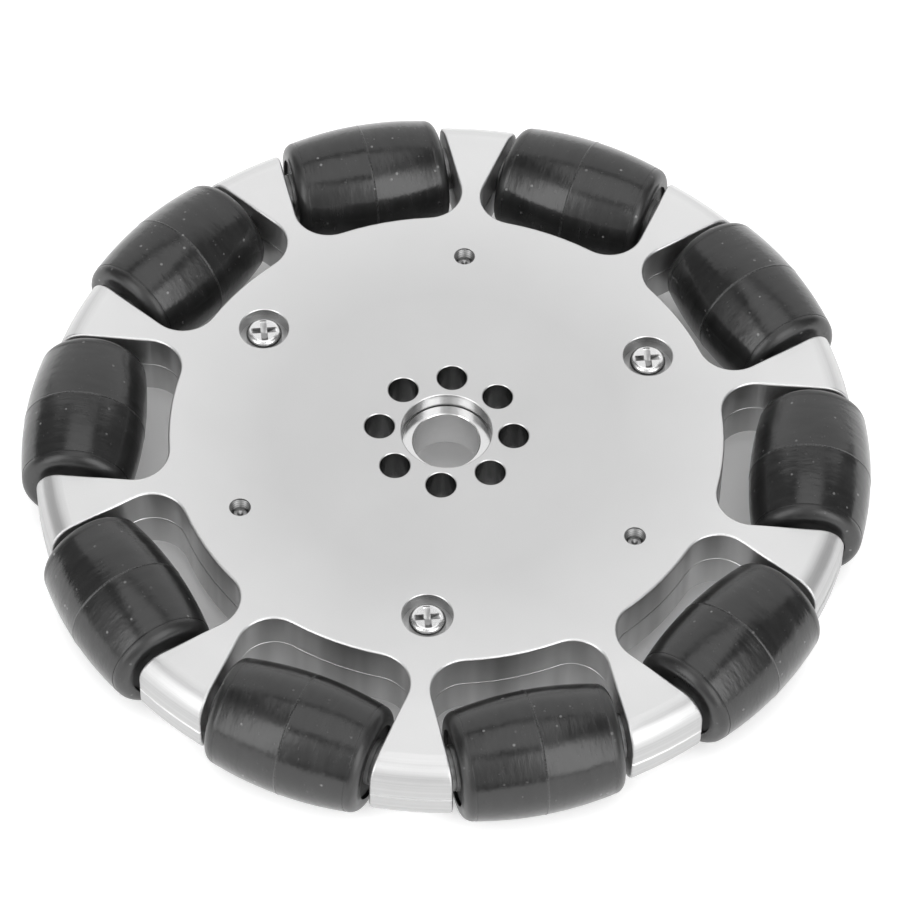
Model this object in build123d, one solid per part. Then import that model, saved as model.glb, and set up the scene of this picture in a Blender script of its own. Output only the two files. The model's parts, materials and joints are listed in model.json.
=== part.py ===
from build123d import *
import math
import os

# Single-row omni wheel: ten barrel rollers held between two aluminium plates.
#
# Row frame: the wheel lies flat, +Z along its axis, and the origin is at the wheel's centre
# on the face where the two plates meet. +Y runs through the middle of one arm. Station
# angles are degrees clockwise from +Y, seen from above. All sizes are in millimetres.

# ---- Driving dimensions --------------------------------------------------------------

WHEEL_RADIUS = 63.5
ROLLER_COUNT = 10

PLATE_THICKNESS = 6.0
PLATE_RADIUS = 61.2
RIM_ROUNDING = 3.8
RIM_SPLIT_CHAMFER = 0.25
POCKET_WIDTH = 26.0
POCKET_FLOOR_RADIUS = 41.3
POCKET_CORNER = 5.2
POCKET_EDGE_ROUNDING = 0.4
MATING_EDGE_ROUNDING = 0.2
HOLE_EDGE_BREAK = 0.12

SHAFT_BORE_RADIUS = 5.0
BUSH_RADIUS = 6.6
BUSH_LENGTH = 7.0
BUSH_CHAMFER = 0.12
PILOT_RADIUS = 6.75
PILOT_DEPTH = 3.0

HUB_HOLE_COUNT = 8
HUB_HOLE_RADIUS = 2.25
HUB_HOLE_CIRCLE = 10.0

SCREW_CIRCLE = 33.5
SCREWS_PER_SIDE = 3
SCREW_LENGTH = 8.0
SCREW_CLEARANCE_RADIUS = 1.65
HEAD_RADIUS = 2.7
HEAD_HEIGHT = 2.1
HEAD_SIDE = 1.1
COUNTERBORE_RADIUS = 3.7
COUNTERBORE_DEPTH = 2.5

THREAD_PITCH = 0.5
TAPPED_MINOR_RADIUS = 1.28
TAPPED_MAJOR_RADIUS = 1.52
TAPPED_MOUTH_RADIUS = 1.6
SCREW_MINOR_RADIUS = 1.20
SCREW_MAJOR_RADIUS = 1.45
TIP_DIMPLE_RADIUS = 0.5
TIP_DIMPLE_DEPTH = 0.25

RECESS_SPAN = 3.9
RECESS_WING_WIDTH = 1.0
RECESS_WING_EDGE = 0.3
RECESS_DEPTH = 1.35
RECESS_FLOOR_RADIUS = 0.55
RECESS_TURN = 10.0

AXLE_RADIUS = 1.5
AXLE_LENGTH = 32.0
AXLE_END_CHAMFER = 0.3

ROLLER_RADIUS = 9.1
ROLLER_HALF_LENGTH = 11.9
ROLLER_CROWN_ARC = 54.0
PARTING_RIDGE = 0.05
PARTING_HALF_WIDTH = 0.15
SHOULDER_START = 10.1
SHOULDER_STEP = 0.06
END_ROUNDING = 1.7

CORE_RADIUS = 5.6
CORE_RIB_RADIUS = 6.4
CORE_RIB_HALF_WIDTH = 7.0
CORE_RECESS = 0.5
CORE_RELIEF_RADIUS = 2.0

BEARING_RADIUS = 2.6
BEARING_DEPTH = 5.0
BEARING_CLEARANCE = 0.05
BEARING_FLANGE_RADIUS = 3.4
BEARING_FLANGE = 0.6

WASHER_RADIUS = 3.3
WASHER_THICKNESS = 0.9
WASHER_PLAY = 0.05

# ---- Worked-out values ---------------------------------------------------------------

AXLE_CIRCLE = WHEEL_RADIUS - ROLLER_RADIUS
STATION_STEP = 360 / ROLLER_COUNT
ROLLER_STATIONS = [STATION_STEP * (k + 0.5) for k in range(ROLLER_COUNT)]
SCREW_STEP = 360 / SCREWS_PER_SIDE
LOWER_SCREW_STATIONS = [SCREW_STEP * k for k in range(SCREWS_PER_SIDE)]
UPPER_SCREW_STATIONS = [SCREW_STEP * (k + 0.5) for k in range(SCREWS_PER_SIDE)]
SCREW_SEAT = PLATE_THICKNESS - COUNTERBORE_DEPTH
CORE_HALF_LENGTH = ROLLER_HALF_LENGTH - CORE_RECESS
BEARING_FACE = CORE_HALF_LENGTH + BEARING_FLANGE
BEARING_INNER_END = CORE_HALF_LENGTH - BEARING_DEPTH
WASHER_INNER_FACE = BEARING_FACE + WASHER_PLAY
OVERSHOOT = 1.0


# ---- Helpers -------------------------------------------------------------------------

def at_station(angle, radius, height=0.0):
    """Location on a circle about the wheel's axis, local +Y pointing outwards."""
    return Rot(0, 0, -angle) * Pos(0, radius, height)


def turned(edges):
    """Solid of revolution about +Z from a closed outline of edges in the XZ plane."""
    return revolve(make_face(edges), Axis.Z)


def turned_polygon(corners):
    """Solid of revolution about +Z from (radius, height) corners."""
    return turned(Polyline([(radius, 0, height) for radius, height in corners], close=True))


def sleeve(outer, inner, low, high):
    """Plain tube about +Z between two heights."""
    return turned_polygon([(inner, low), (outer, low), (outer, high), (inner, high)])


def thread_rings(valley, peak, low, high):
    """(radius, height) corners of V-shaped thread rings, from a height up to another."""
    corners = []
    for k in range(round((high - low) / THREAD_PITCH)):
        corners.append((valley, low + k * THREAD_PITCH))
        corners.append((peak, low + (k + 0.5) * THREAD_PITCH))
    corners.append((valley, high))
    return corners


# ---- Plates --------------------------------------------------------------------------

def pocket_outline():
    """Parallel-sided pocket, open at the rim, with a floor that is an arc about the axis."""
    slot = Pos(0, PLATE_RADIUS) * Rectangle(POCKET_WIDTH, PLATE_RADIUS)
    slot -= Circle(POCKET_FLOOR_RADIUS)
    floor_corners = slot.vertices().sort_by(Axis.Y)[:2]
    return fillet(floor_corners, POCKET_CORNER)


def pocket_edges(plate, height):
    """Edges where the pockets' walls and floors meet the plate's face at a height."""
    flat_radius = PLATE_RADIUS - RIM_ROUNDING
    middles = [(edge, edge @ 0.5) for edge in plate.edges()]
    return [
        edge for edge, middle in middles
        if abs(middle.Z - height) < 1e-6 and math.hypot(middle.X, middle.Y) < flat_radius - 0.1
    ]


def plate_blank():
    """Turned disc with a rounded outer rim and ten roller pockets with broken edges."""
    base = (Align.CENTER, Align.CENTER, Align.MIN)
    disc = Cylinder(PLATE_RADIUS, PLATE_THICKNESS, align=base)
    disc = fillet(disc.edges().group_by(Axis.Z)[-1], RIM_ROUNDING)
    disc = chamfer(disc.edges().group_by(Axis.Z)[0], RIM_SPLIT_CHAMFER)
    pocket = extrude(pocket_outline(), PLATE_THICKNESS)
    blank = disc - [Rot(0, 0, -angle) * pocket for angle in ROLLER_STATIONS]
    rim_edges = [edge for edge in blank.edges() if edge.geom_type == GeomType.BSPLINE]
    blank = fillet(pocket_edges(blank, PLATE_THICKNESS) + rim_edges, POCKET_EDGE_ROUNDING)
    return fillet(pocket_edges(blank, 0), MATING_EDGE_ROUNDING)


def drilled_hole(radius):
    """Cutter for a through hole with a chamfered mouth in the outer face."""
    top = PLATE_THICKNESS
    wide = radius + HOLE_EDGE_BREAK
    return turned_polygon([
        (0, -OVERSHOOT), (radius, -OVERSHOOT), (radius, top - HOLE_EDGE_BREAK),
        (wide, top), (wide, top + OVERSHOOT), (0, top + OVERSHOOT),
    ])


def stepped_hole(radius, step_height, wide_radius):
    """Cutter for a through hole that widens at a height, with a chamfered mouth."""
    top = PLATE_THICKNESS
    mouth = wide_radius + HOLE_EDGE_BREAK
    return turned_polygon([
        (0, -OVERSHOOT), (radius, -OVERSHOOT), (radius, step_height), (wide_radius, step_height),
        (wide_radius, top - HOLE_EDGE_BREAK), (mouth, top), (mouth, top + OVERSHOOT),
        (0, top + OVERSHOOT),
    ])


def tapped_hole():
    """Cutter for a tapped through hole with thread rings and a countersunk mouth."""
    top = PLATE_THICKNESS
    rings = thread_rings(TAPPED_MINOR_RADIUS, TAPPED_MAJOR_RADIUS, 0, top - THREAD_PITCH)
    return turned_polygon([
        (0, -OVERSHOOT), (TAPPED_MINOR_RADIUS, -OVERSHOOT), *rings,
        (TAPPED_MAJOR_RADIUS, top - THREAD_PITCH / 2),
        (TAPPED_MOUTH_RADIUS, top), (TAPPED_MOUTH_RADIUS, top + OVERSHOOT), (0, top + OVERSHOOT),
    ])


def plate():
    """Upper plate, with its joint face on Z = 0. The lower plate is the same part."""
    hub_step = 360 / HUB_HOLE_COUNT
    hub_hole = drilled_hole(HUB_HOLE_RADIUS)
    axle_groove = Rot(0, 90, 0) * Cylinder(AXLE_RADIUS, AXLE_LENGTH)
    screw_hole = stepped_hole(SCREW_CLEARANCE_RADIUS, SCREW_SEAT, COUNTERBORE_RADIUS)
    cutters = [stepped_hole(BUSH_RADIUS, PLATE_THICKNESS - PILOT_DEPTH, PILOT_RADIUS)]
    cutters += [at_station(hub_step * k, HUB_HOLE_CIRCLE) * hub_hole for k in range(HUB_HOLE_COUNT)]
    cutters += [at_station(a, SCREW_CIRCLE) * screw_hole for a in UPPER_SCREW_STATIONS]
    cutters += [at_station(a, SCREW_CIRCLE) * tapped_hole() for a in LOWER_SCREW_STATIONS]
    cutters += [at_station(a, AXLE_CIRCLE) * axle_groove for a in ROLLER_STATIONS]
    return plate_blank() - cutters


def turned_over(shape):
    """The shape turned over about the X axis, which maps every arm onto an arm."""
    return Rot(180, 0, 0) * shape


# ---- Hub bush ------------------------------------------------------------------------

def centre_bush():
    """Plain shaft bush, pressed half into each plate and set back from both faces."""
    half = BUSH_LENGTH / 2
    edge = BUSH_CHAMFER
    return turned_polygon([
        (SHAFT_BORE_RADIUS, -half + edge), (SHAFT_BORE_RADIUS + edge, -half),
        (BUSH_RADIUS - edge, -half), (BUSH_RADIUS, -half + edge),
        (BUSH_RADIUS, half - edge), (BUSH_RADIUS - edge, half),
        (SHAFT_BORE_RADIUS + edge, half), (SHAFT_BORE_RADIUS, half - edge),
    ])


# ---- Clamp screws --------------------------------------------------------------------

def screw_head():
    """Domed pan head with its seat on Z = 0."""
    centre = (0, 0, 0)
    seat_edge = (HEAD_RADIUS, 0, 0)
    side_top = (HEAD_RADIUS, 0, HEAD_SIDE)
    shoulder = (HEAD_RADIUS * 0.91, 0, HEAD_HEIGHT * 0.86)
    crown_edge = (HEAD_RADIUS * 0.7, 0, HEAD_HEIGHT)
    crown = (0, 0, HEAD_HEIGHT)
    return turned([
        Line(centre, seat_edge), Line(seat_edge, side_top),
        ThreePointArc(side_top, shoulder, crown_edge),
        Line(crown_edge, crown), Line(crown, centre),
    ])


def cross_recess():
    """Cutter for the cross recess: four wings whose floors slope down to the middle."""
    floor = HEAD_HEIGHT - RECESS_DEPTH
    top = HEAD_HEIGHT + OVERSHOOT
    half_span = RECESS_SPAN / 2
    wings = Rectangle(RECESS_SPAN, RECESS_WING_WIDTH) + Rectangle(RECESS_WING_WIDTH, RECESS_SPAN)
    prism = extrude(Pos(0, 0, floor) * wings, top - floor)
    slope = turned_polygon([
        (0, floor), (RECESS_FLOOR_RADIUS, floor), (half_span, HEAD_HEIGHT - RECESS_WING_EDGE),
        (half_span, top), (0, top),
    ])
    return prism & slope


def screw():
    """Pan-head clamp screw pointing down, its thread rings in step with the tapped hole's."""
    tip = -SCREW_LENGTH
    rings = thread_rings(
        SCREW_MINOR_RADIUS, SCREW_MAJOR_RADIUS, tip + THREAD_PITCH, -THREAD_PITCH)
    shank = turned_polygon([
        (0, HEAD_SIDE), (0, tip + TIP_DIMPLE_DEPTH), (TIP_DIMPLE_RADIUS, tip),
        (SCREW_MINOR_RADIUS - THREAD_PITCH / 2, tip), *rings, (SCREW_MINOR_RADIUS, HEAD_SIDE),
    ])
    return screw_head() + shank - cross_recess()


def screw_set():
    """The clamp screws that enter from the upper side, their recesses all turned alike."""
    upright = Rot(0, 0, RECESS_TURN) * screw()
    return Compound([
        at_station(a, SCREW_CIRCLE, SCREW_SEAT) * Rot(0, 0, a) * upright
        for a in UPPER_SCREW_STATIONS
    ])


# ---- Rollers, built along Z about their own axle -------------------------------------

def tread_radius(offset):
    """Radius of the barrel-shaped tread at a distance from the roller's middle."""
    crown = ROLLER_RADIUS - PARTING_RIDGE
    return crown - ROLLER_CROWN_ARC + math.sqrt(ROLLER_CROWN_ARC ** 2 - offset ** 2)


def tyre_end(side):
    """Outline edges from the parting ridge over the tread to the core's rib, on one side."""
    step_radius = tread_radius(SHOULDER_START) - SHOULDER_STEP
    bulge = END_ROUNDING * (1 - math.sqrt(0.5))

    def point(radius, offset):
        return (radius, 0, side * offset)

    ridge = point(ROLLER_RADIUS, 0)
    ridge_foot = point(tread_radius(PARTING_HALF_WIDTH), PARTING_HALF_WIDTH)
    tread_middle = point(tread_radius(SHOULDER_START / 2), SHOULDER_START / 2)
    tread_edge = point(tread_radius(SHOULDER_START), SHOULDER_START)
    step = point(step_radius, SHOULDER_START)
    round_start = point(step_radius, ROLLER_HALF_LENGTH - END_ROUNDING)
    round_middle = point(step_radius - bulge, ROLLER_HALF_LENGTH - bulge)
    round_end = point(step_radius - END_ROUNDING, ROLLER_HALF_LENGTH)
    mouth = point(CORE_RADIUS, ROLLER_HALF_LENGTH)
    rib_foot = point(CORE_RADIUS, CORE_RIB_HALF_WIDTH)
    rib = point(CORE_RIB_RADIUS, CORE_RIB_HALF_WIDTH)
    return [
        Line(ridge, ridge_foot), ThreePointArc(ridge_foot, tread_middle, tread_edge),
        Line(tread_edge, step), Line(step, round_start),
        ThreePointArc(round_start, round_middle, round_end),
        Line(round_end, mouth), Line(mouth, rib_foot), Line(rib_foot, rib),
    ]


def roller_tyre():
    """Barrel tyre with a moulding ridge round its middle and stepped, rounded ends."""
    rib_face = Line(
        (CORE_RIB_RADIUS, 0, CORE_RIB_HALF_WIDTH), (CORE_RIB_RADIUS, 0, -CORE_RIB_HALF_WIDTH))
    return turned(tyre_end(1) + [rib_face] + tyre_end(-1))


def roller_core():
    """Moulded core: a rib keeps the tyre on, and a bearing seats in each end."""
    end = CORE_HALF_LENGTH
    rib = CORE_RIB_HALF_WIDTH
    body = sleeve(CORE_RADIUS, CORE_RELIEF_RADIUS, -end, end)
    body += sleeve(CORE_RIB_RADIUS, CORE_RELIEF_RADIUS, -rib, rib)
    seats = [
        sleeve(BEARING_RADIUS, 0, BEARING_INNER_END, end + OVERSHOOT),
        sleeve(BEARING_RADIUS, 0, -end - OVERSHOOT, -BEARING_INNER_END),
    ]
    return body - seats


def roller_bearings():
    """The two flanged plain bearings that run on the axle, as separate solids."""
    bore = AXLE_RADIUS + BEARING_CLEARANCE
    bearing = turned_polygon([
        (bore, BEARING_INNER_END), (BEARING_RADIUS, BEARING_INNER_END),
        (BEARING_RADIUS, CORE_HALF_LENGTH), (BEARING_FLANGE_RADIUS, CORE_HALF_LENGTH),
        (BEARING_FLANGE_RADIUS, BEARING_FACE), (bore, BEARING_FACE),
    ])
    return Compound([bearing, turned_over(bearing)])


def thrust_washers():
    """The washer at each end of a roller, between its bearing and the pocket's wall."""
    bore = AXLE_RADIUS + BEARING_CLEARANCE
    low = WASHER_INNER_FACE
    washer = sleeve(WASHER_RADIUS, bore, low, low + WASHER_THICKNESS)
    return Compound([washer, turned_over(washer)])


def roller_axle():
    """Plain steel axle with chamfered ends."""
    axle = Cylinder(AXLE_RADIUS, AXLE_LENGTH)
    return chamfer(axle.edges().filter_by(GeomType.CIRCLE), AXLE_END_CHAMFER)


# ---- Assembly ------------------------------------------------------------------------

def all_parts():
    """Every node's shape, in its place in the wheel."""
    upper = plate()
    screws = screw_set()
    parts = {
        "upper_plate": upper,
        "lower_plate": turned_over(upper),
        "centre_bush": centre_bush(),
        "upper_screws": screws,
        "lower_screws": turned_over(screws),
    }
    roller_parts = {
        "roller_tyre": roller_tyre(),
        "roller_core": roller_core(),
        "roller_bearings": roller_bearings(),
        "thrust_washers": thrust_washers(),
        "roller_axle": roller_axle(),
    }
    lying = Rot(0, 90, 0)
    for number, angle in enumerate(ROLLER_STATIONS, start=1):
        place = at_station(angle, AXLE_CIRCLE) * lying
        for name, shape in roller_parts.items():
            parts[f"{name}_{number:02d}"] = place * shape
    return parts


def main():
    os.makedirs("parts", exist_ok=True)
    for name, shape in all_parts().items():
        export_step(shape, f"parts/{name}.step")


if __name__ == "__main__":
    main()
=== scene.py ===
"""Looks for the omni wheel: materials, floor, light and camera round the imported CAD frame."""

import json
import math

import bpy
from mathutils import Matrix, Vector


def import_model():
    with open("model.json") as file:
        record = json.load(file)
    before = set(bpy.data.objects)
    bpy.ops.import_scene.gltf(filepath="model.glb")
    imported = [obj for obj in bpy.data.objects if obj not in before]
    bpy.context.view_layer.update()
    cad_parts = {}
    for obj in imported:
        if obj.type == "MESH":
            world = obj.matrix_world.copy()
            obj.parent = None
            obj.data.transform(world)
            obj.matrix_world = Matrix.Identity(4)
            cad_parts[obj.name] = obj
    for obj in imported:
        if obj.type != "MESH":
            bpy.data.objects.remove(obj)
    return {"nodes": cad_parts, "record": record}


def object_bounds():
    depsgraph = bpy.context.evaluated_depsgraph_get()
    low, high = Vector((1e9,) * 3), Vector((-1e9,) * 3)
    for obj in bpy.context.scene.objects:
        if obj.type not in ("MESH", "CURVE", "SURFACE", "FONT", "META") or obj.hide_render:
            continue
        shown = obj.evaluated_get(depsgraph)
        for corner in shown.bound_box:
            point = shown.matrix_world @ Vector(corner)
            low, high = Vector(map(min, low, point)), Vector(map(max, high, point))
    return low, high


MM = 0.001

# ---- The wheel, in the row frame, in mm ----------------------------------------------

ROLLER_COUNT = 10
STATION_STEP = math.radians(360 / ROLLER_COUNT)
TYRE_SHOULDER = 10.1
NOISE_STRIDE = 37.0  # shift in the noise from one roller to the next, so no two look alike

PLATE_FACE = 6.0
PILOT_RADIUS = 6.75
HOLES_END = 38.0
HUB_SHADE_START = 26.0
HUB_SHADE_END = 50.0
RIM_START = 57.4

SCREW_COUNT = 6
SCREW_STEP = math.radians(360 / SCREW_COUNT)
SCREW_CIRCLE = 33.5
HEAD_TOP = 5.6
RECESS_REACH = 1.9
THREAD_PITCH = 0.5
TAPPED_RADIUS = 1.6

# ---- Camera --------------------------------------------------------------------------

AZIMUTH = math.radians(3.795)
ELEVATION = math.radians(53.176)
ROLL = math.radians(1.09)
LENS_MM = 189.27
SENSOR_MM = 36.0
DISTANCE = 700.5 * MM
TARGET_OFFSET = Vector((0.806, -3.526, 6.0)) * MM

# ---- Light ---------------------------------------------------------------------------

WORLD_STRENGTH = 0.22
POWER_PER_RADIANCE = 4.0  # Cycles: an area light's power over its radiance and area
FLOOR_HALF_SIDE = 4.0
GLOW_UNDER_WHEEL = 0.12
GLOW_AROUND_WHEEL = 0.54
GLOW_RAMP_START = 50.0
GLOW_RAMP_END = 64.0
SOFTBOXES = [
    # name, azimuth, elevation, width, height (degrees), distance (m), radiance
    ("back_panel", 180.0, 22.0, 96.0, 76.0, 1.6, 0.62),
    ("top_panel", 0.0, 90.0, 46.0, 46.0, 1.6, 0.90),
    ("right_key", 44.0, 30.0, 32.0, 50.0, 1.5, 1.70),
    ("right_wing", 44.0, 30.0, 58.0, 62.0, 1.7, 0.40),
    ("left_key", -47.0, 30.0, 27.0, 50.0, 1.5, 1.70),
    ("left_wing", -48.0, 30.0, 60.0, 62.0, 1.7, 0.35),
    ("front_panel", 0.0, 36.0, 40.0, 50.0, 1.9, 0.30),
]


# ---- Node helpers --------------------------------------------------------------------

WHITE = (1.0, 1.0, 1.0, 1.0)
NOISE_LOW = 0.3
NOISE_HIGH = 0.7
SOCKETS = {
    "Base_Color": "Base Color",
    "Specular": "Specular IOR Level",
    "Emission_Color": "Emission Color",
    "Emission_Strength": "Emission Strength",
}


class Nodes:
    """Short calls for building one material's node tree."""

    def __init__(self, name):
        self.material = bpy.data.materials.new(name)
        self.material.use_nodes = True
        self.tree = self.material.node_tree
        self.tree.nodes.clear()
        self.shader = self.add("ShaderNodeBsdfPrincipled")
        output = self.add("ShaderNodeOutputMaterial")
        self.link(self.shader.outputs["BSDF"], output.inputs["Surface"])
        coordinates = self.add("ShaderNodeTexCoord")
        self.normal = coordinates.outputs["Normal"]
        self.position = self.multiply_vector(coordinates.outputs["Object"], (1 / MM,) * 3)

    def add(self, kind, **settings):
        node = self.tree.nodes.new(kind)
        for key, value in settings.items():
            setattr(node, key, value)
        return node

    def link(self, output, socket):
        self.tree.links.new(output, socket)

    def put(self, socket, value):
        """Links an output, or sets a plain value."""
        if isinstance(value, bpy.types.NodeSocket):
            self.link(value, socket)
        else:
            socket.default_value = value

    def math(self, operation, a, b=0.0):
        node = self.add("ShaderNodeMath", operation=operation)
        for socket, value in zip(node.inputs, (a, b)):
            self.put(socket, value)
        return node.outputs["Value"]

    def add_up(self, *values):
        """Sum of two or more values."""
        total = values[0]
        for value in values[1:]:
            total = self.math("ADD", total, value)
        return total

    def times(self, a, b):
        return self.math("MULTIPLY", a, b)

    def length(self, a, b):
        """Length of the vector (a, b)."""
        return self.math("SQRT", self.math("ADD", self.times(a, a), self.times(b, b)))

    def multiply_vector(self, vector, factors):
        node = self.add("ShaderNodeVectorMath", operation="MULTIPLY")
        self.put(node.inputs[0], vector)
        self.put(node.inputs[1], factors)
        return node.outputs["Vector"]

    def combine(self, x, y, z):
        node = self.add("ShaderNodeCombineXYZ")
        for socket, value in zip(node.inputs, (x, y, z)):
            self.put(socket, value)
        return node.outputs["Vector"]

    def separate(self, vector):
        node = self.add("ShaderNodeSeparateXYZ")
        self.put(node.inputs[0], vector)
        return node.outputs["X"], node.outputs["Y"], node.outputs["Z"]

    def noise(self, vector, scale, detail=2.0, roughness=0.5):
        """Noise of 0 to 1 at a scale in features per millimetre."""
        node = self.add("ShaderNodeTexNoise")
        self.put(node.inputs["Vector"], vector)
        node.inputs["Scale"].default_value = scale
        node.inputs["Detail"].default_value = detail
        node.inputs["Roughness"].default_value = roughness
        return node.outputs["Fac"]

    def specks(self, vector, scale, radius):
        """1 on scattered round specks, 0 elsewhere; scale in specks per millimetre."""
        node = self.add("ShaderNodeTexVoronoi")
        self.put(node.inputs["Vector"], vector)
        node.inputs["Scale"].default_value = scale
        distance = self.math("DIVIDE", node.outputs["Distance"], scale)
        return self.span(distance, radius, 0.6 * radius)

    def span(self, value, low, high, to_low=0.0, to_high=1.0):
        """Maps low..high to to_low..to_high, clamped."""
        node = self.add("ShaderNodeMapRange")
        node.clamp = True
        for socket, number in zip(node.inputs, (value, low, high, to_low, to_high)):
            self.put(socket, number)
        return node.outputs["Result"]

    def vary(self, noise, to_low, to_high):
        """Maps the range that noise mostly stays in to to_low..to_high, clamped."""
        return self.span(noise, NOISE_LOW, NOISE_HIGH, to_low, to_high)

    def grey(self, value):
        """A grey colour whose three channels are the value."""
        return self.combine(value, value, value)

    def bump(self, height, distance_mm, under=None):
        """Normal bent by a height given in units of distance_mm, on top of another bump."""
        node = self.add("ShaderNodeBump")
        node.inputs["Strength"].default_value = 1.0
        node.inputs["Distance"].default_value = distance_mm * MM
        self.put(node.inputs["Height"], height)
        if under is not None:
            self.put(node.inputs["Normal"], under)
        return node.outputs["Normal"]

    def finish(self, **values):
        for name, value in values.items():
            self.put(self.shader.inputs[SOCKETS.get(name, name)], value)
        return self.material


def wheel_radius(nodes):
    """Distance in mm from the wheel's axis."""
    x, y, _ = nodes.separate(nodes.position)
    return nodes.length(x, y)


def screw_distance(nodes):
    """Distance in mm from the axis of the nearest of the six clamp screws."""
    x, y, _ = nodes.separate(nodes.position)
    turns = nodes.math("DIVIDE", nodes.math("ARCTAN2", x, y), SCREW_STEP)
    middle = nodes.times(nodes.math("ROUND", turns), SCREW_STEP)
    screw_x = nodes.times(nodes.math("SINE", middle), SCREW_CIRCLE)
    screw_y = nodes.times(nodes.math("COSINE", middle), SCREW_CIRCLE)
    return nodes.length(nodes.math("SUBTRACT", x, screw_x), nodes.math("SUBTRACT", y, screw_y))


def station_coordinates(nodes):
    """(along the roller's axle, outwards from the wheel's axis, height) in mm, and the station."""
    x, y, z = nodes.separate(nodes.position)
    turns = nodes.math("DIVIDE", nodes.math("ARCTAN2", x, y), STATION_STEP)
    number = nodes.math("FLOOR", turns)
    middle = nodes.times(nodes.math("ADD", number, 0.5), STATION_STEP)
    sine = nodes.math("SINE", middle)
    cosine = nodes.math("COSINE", middle)
    along = nodes.math("SUBTRACT", nodes.times(x, cosine), nodes.times(y, sine))
    outwards = nodes.math("ADD", nodes.times(x, sine), nodes.times(y, cosine))
    return along, outwards, z, number


# ---- Materials -----------------------------------------------------------------------

def plate_zones(n):
    """Masks of 0 to 1 for the plates' rim, pocket walls, hole walls, plain holes and threads."""
    radius = wheel_radius(n)
    facing_up = n.math("ABSOLUTE", n.separate(n.normal)[2])
    depth = n.math("ABSOLUTE", n.separate(n.position)[2])
    upright = n.span(facing_up, 0.5, 0.1)
    rim = n.span(radius, RIM_START, RIM_START + 1.5)
    hole = n.times(upright, n.span(radius, HOLES_END + 0.5, HOLES_END))
    below_face = n.span(depth, PLATE_FACE - 0.05, PLATE_FACE - 0.2)
    at_screw = n.span(screw_distance(n), TAPPED_RADIUS, TAPPED_RADIUS - 0.1)
    return {
        "rim": rim,
        "rim_shade": n.times(rim, n.span(facing_up, 0.8, 0.3, 0.12, 0.34)),
        "pocket_wall": n.times(upright, n.span(rim, 1.0, 0.0)),
        "hole": hole,
        "drilled": n.times(hole, n.span(radius, PILOT_RADIUS + 0.4, PILOT_RADIUS + 0.5)),
        "tapped": n.times(at_screw, below_face),
    }


def plate_aluminium(name):
    """Satin aluminium: blasted faces, turned rim, milled pocket walls with darker streaks of
    painted reflection, smooth holes darkened with painted shade.
    """
    n = Nodes(name)
    radius = wheel_radius(n)
    height = n.separate(n.position)[2]
    zone = plate_zones(n)

    clouds = n.noise(n.position, 0.06, 3.0)
    grain = n.noise(n.position, 5.0, 3.0, 0.65)
    turning = n.noise(n.combine(radius, height, 0.0), 2.2, 4.0, 0.7)
    reflection_streaks = n.noise(n.multiply_vector(n.position, (1.0, 1.0, 0.03)), 0.22, 2.0, 0.45)
    thread_shade_bands = n.math("SINE", n.times(height, 2 * math.pi / THREAD_PITCH))

    value = n.add_up(
        n.span(radius, HUB_SHADE_START, HUB_SHADE_END, 0.67, 0.82),
        n.times(zone["rim_shade"], -1.0),
        n.vary(clouds, -0.015, 0.015),
        n.vary(grain, -0.012, 0.012),
        n.times(zone["rim"], n.vary(turning, -0.05, 0.05)),
        # Painted reflection: darker vertical streaks on the pocket walls.
        n.times(zone["pocket_wall"], n.vary(reflection_streaks, -0.28, 0.00)),
        # Painted shade: the walls of the holes darker.
        n.times(zone["drilled"], -0.16),
        # Painted shade: the tapped holes darker, in bands at the thread pitch.
        n.times(zone["tapped"], n.span(thread_shade_bands, -1.0, 1.0, -0.05, -0.50)))
    roughness = n.add_up(
        n.vary(clouds, 0.38, 0.42),
        n.vary(grain, -0.03, 0.03),
        n.times(zone["hole"], -0.22),
        n.times(zone["rim"], 0.05))
    turned = n.bump(n.times(zone["rim"], turning), 0.010)
    return n.finish(
        Base_Color=n.grey(value), Metallic=1.0, Roughness=roughness,
        Normal=n.bump(grain, 0.006, under=turned))


def polished_steel(name, value, roughness):
    """Bright steel with faint smears."""
    n = Nodes(name)
    smears = n.noise(n.position, 0.8, 3.0)
    grain = n.noise(n.position, 12.0, 2.0)
    return n.finish(
        Base_Color=n.grey(n.vary(smears, value - 0.02, value + 0.02)),
        Metallic=1.0,
        Roughness=n.vary(smears, roughness - 0.03, roughness + 0.04),
        Normal=n.bump(grain, 0.001))


def screw_steel(name):
    """Bright zinc-plated screws, with painted shade darkening the recess and the tip, which are
    also rougher.
    """
    n = Nodes(name)
    depth = n.math("ABSOLUTE", n.separate(n.position)[2])
    shaded_recess = n.times(
        n.span(screw_distance(n), RECESS_REACH, RECESS_REACH - 0.15),
        n.span(depth, HEAD_TOP - 0.05, HEAD_TOP - 0.5))
    smears = n.noise(n.position, 0.9, 3.0)
    # Painted shade: the recess and the tip darker.
    value = n.add_up(n.vary(smears, 0.76, 0.84), n.times(shaded_recess, -0.42))
    roughness = n.add_up(n.vary(smears, 0.17, 0.26), n.times(shaded_recess, 0.12))
    return n.finish(
        Base_Color=n.grey(value), Metallic=1.0, Roughness=roughness,
        Normal=n.bump(n.noise(n.position, 4.0, 3.0), 0.012))


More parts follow.
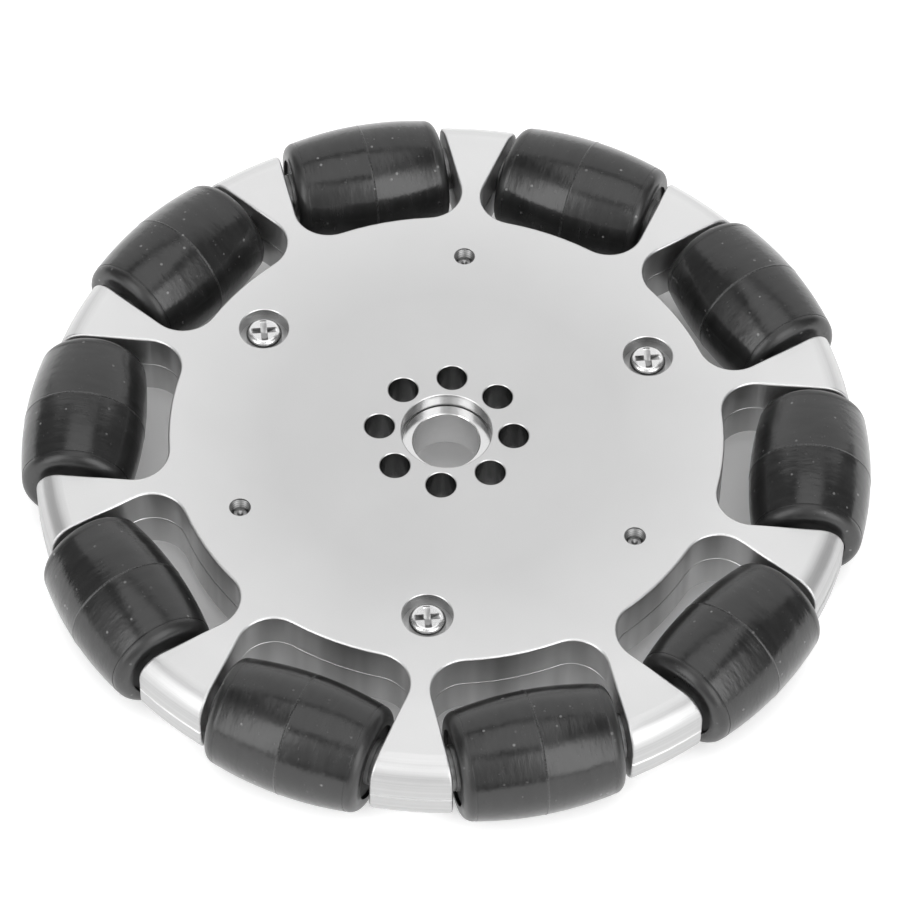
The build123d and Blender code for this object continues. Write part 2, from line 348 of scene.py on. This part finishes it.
def tyre_rubber(name):
    """Satin black moulded rubber, a lighter and rougher parting line, scuffs round the roller and
    dust.
    """
    n = Nodes(name)
    along, outwards, height, number = station_coordinates(n)
    place = n.combine(n.math("ADD", along, n.times(number, NOISE_STRIDE)), outwards, height)
    from_middle = n.math("ABSOLUTE", along)

    scuffs = n.noise(n.multiply_vector(place, (1.0, 0.16, 0.16)), 1.1, 6.0, 0.7)
    waves = n.noise(n.multiply_vector(place, (1.0, 0.5, 0.5)), 0.35, 3.0, 0.6)
    patches = n.noise(n.position, 0.13, 3.0)
    grain = n.noise(n.position, 3.0, 4.0, 0.7)
    faintness = n.span(n.noise(n.position, 0.5), 0.4, 0.6, 0.02, 0.16)
    dust = n.times(n.specks(n.position, 0.42, 0.26), faintness)
    lint = n.times(n.specks(place, 0.9, 0.13), 0.025)
    end = n.span(from_middle, TYRE_SHOULDER - 0.3, TYRE_SHOULDER + 0.6)
    parting = n.times(n.span(from_middle, 0.30, 0.12), n.span(grain, 0.4, 0.6))

    value = n.add_up(
        n.vary(scuffs, 0.008, 0.020),
        n.vary(patches, -0.002, 0.004),
        dust,
        lint,
        n.times(parting, 0.02))
    roughness = n.add_up(
        n.vary(scuffs, 0.13, 0.22),
        n.span(patches, 0.35, 0.65, -0.02, 0.05),
        n.times(end, 0.14),
        n.times(parting, 0.20))
    kinked = n.bump(n.times(from_middle, -1.0), 0.05)
    waved = n.bump(waves, 0.10, under=n.bump(scuffs, 0.045, under=kinked))
    return n.finish(
        Base_Color=n.grey(value), Roughness=roughness, Specular=0.65,
        Normal=n.bump(grain, 0.005, under=waved))


def moulded_nylon(name):
    """Black moulded nylon."""
    n = Nodes(name)
    grain = n.noise(n.position, 3.0, 3.0)
    return n.finish(
        Base_Color=n.grey(n.vary(grain, 0.030, 0.045)),
        Roughness=n.vary(grain, 0.45, 0.60),
        Normal=n.bump(grain, 0.006))


def studio_floor(name):
    """Pale floor with painted light: it glows round the wheel, washing out the wheel's shadow
    there, and glows less under it.
    """
    n = Nodes(name)
    glow = n.span(
        wheel_radius(n), GLOW_RAMP_START, GLOW_RAMP_END, GLOW_UNDER_WHEEL, GLOW_AROUND_WHEEL)
    clouds = n.noise(n.position, 0.01, 2.0)
    return n.finish(
        Base_Color=n.grey(n.vary(clouds, 0.88, 0.90)), Roughness=0.9,
        Emission_Color=WHITE, Emission_Strength=glow)


MAKERS = {
    "plate_aluminium": plate_aluminium,
    "bush_steel": lambda name: polished_steel(name, 0.78, 0.16),
    "screw_steel": screw_steel,
    "axle_steel": lambda name: polished_steel(name, 0.62, 0.28),
    # Painted shade: darker than the record's 0.66, which shines too brightly in the shaded gap
    # beside the rollers.
    "washer_steel": lambda name: polished_steel(name, 0.26, 0.36),
    "tyre_rubber": tyre_rubber,
    "core_nylon": moulded_nylon,
    "bearing_steel": lambda name: polished_steel(name, 0.50, 0.40),
}


def paint_nodes(frame):
    """Gives every CAD node the finish of its material slot in the record."""
    # The imported materials have the slots' names, so they make way first.
    for imported in list(bpy.data.materials):
        bpy.data.materials.remove(imported)
    finishes = {slot: make(slot) for slot, make in MAKERS.items()}
    for part in frame["record"]["subparts"]:
        mesh = frame["nodes"][part["node"]].data
        mesh.materials.clear()
        mesh.materials.append(finishes[part["material_slot"]])


# ---- Stage ---------------------------------------------------------------------------

def direction(azimuth, elevation):
    """Unit vector from the wheel towards a viewer at an azimuth and elevation."""
    return Vector((
        math.sin(azimuth) * math.cos(elevation),
        -math.cos(azimuth) * math.cos(elevation),
        math.sin(elevation),
    ))


def add_floor(low):
    mesh = bpy.data.meshes.new("floor")
    half = FLOOR_HALF_SIDE
    corners = [(-half, -half, low), (half, -half, low), (half, half, low), (-half, half, low)]
    mesh.from_pydata(corners, [], [(0, 1, 2, 3)])
    mesh.materials.append(studio_floor("studio_floor"))
    floor = bpy.data.objects.new("floor", mesh)
    bpy.context.scene.collection.objects.link(floor)


def add_world():
    world = bpy.data.worlds.new("studio")
    world.use_nodes = True
    background = world.node_tree.nodes["Background"]
    background.inputs["Color"].default_value = WHITE
    background.inputs["Strength"].default_value = WORLD_STRENGTH
    bpy.context.scene.world = world


def add_softboxes():
    for name, azimuth, elevation, width, height, distance, radiance in SOFTBOXES:
        light = bpy.data.lights.new(name, "AREA")
        light.shape = "RECTANGLE"
        light.size = 2 * distance * math.tan(math.radians(width / 2))
        light.size_y = 2 * distance * math.tan(math.radians(height / 2))
        light.energy = radiance * POWER_PER_RADIANCE * light.size * light.size_y
        back = direction(math.radians(azimuth), math.radians(elevation))
        box = bpy.data.objects.new(name, light)
        box.location = back * distance
        box.rotation_mode = "QUATERNION"
        box.rotation_quaternion = back.to_track_quat("Z", "Y")
        bpy.context.scene.collection.objects.link(box)


def add_camera(centre):
    data = bpy.data.cameras.new("camera")
    data.lens = LENS_MM
    data.sensor_width = SENSOR_MM
    camera = bpy.data.objects.new("camera", data)
    back = direction(AZIMUTH, ELEVATION)
    right = Vector((0, 0, 1)).cross(back).normalized()
    upright = Matrix((right, back.cross(right), back)).transposed()
    turn = Matrix.Rotation(ROLL, 3, back)
    camera.matrix_world = Matrix.LocRotScale(
        centre + TARGET_OFFSET + back * DISTANCE, (turn @ upright).to_quaternion(), None)
    bpy.context.scene.collection.objects.link(camera)
    bpy.context.scene.camera = camera


def main():
    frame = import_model()
    cad_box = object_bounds()
    paint_nodes(frame)
    low, high = cad_box
    add_floor(low.z)
    add_world()
    add_softboxes()
    add_camera((low + high) / 2)
    bpy.context.scene.view_settings.view_transform = "Standard"


main()
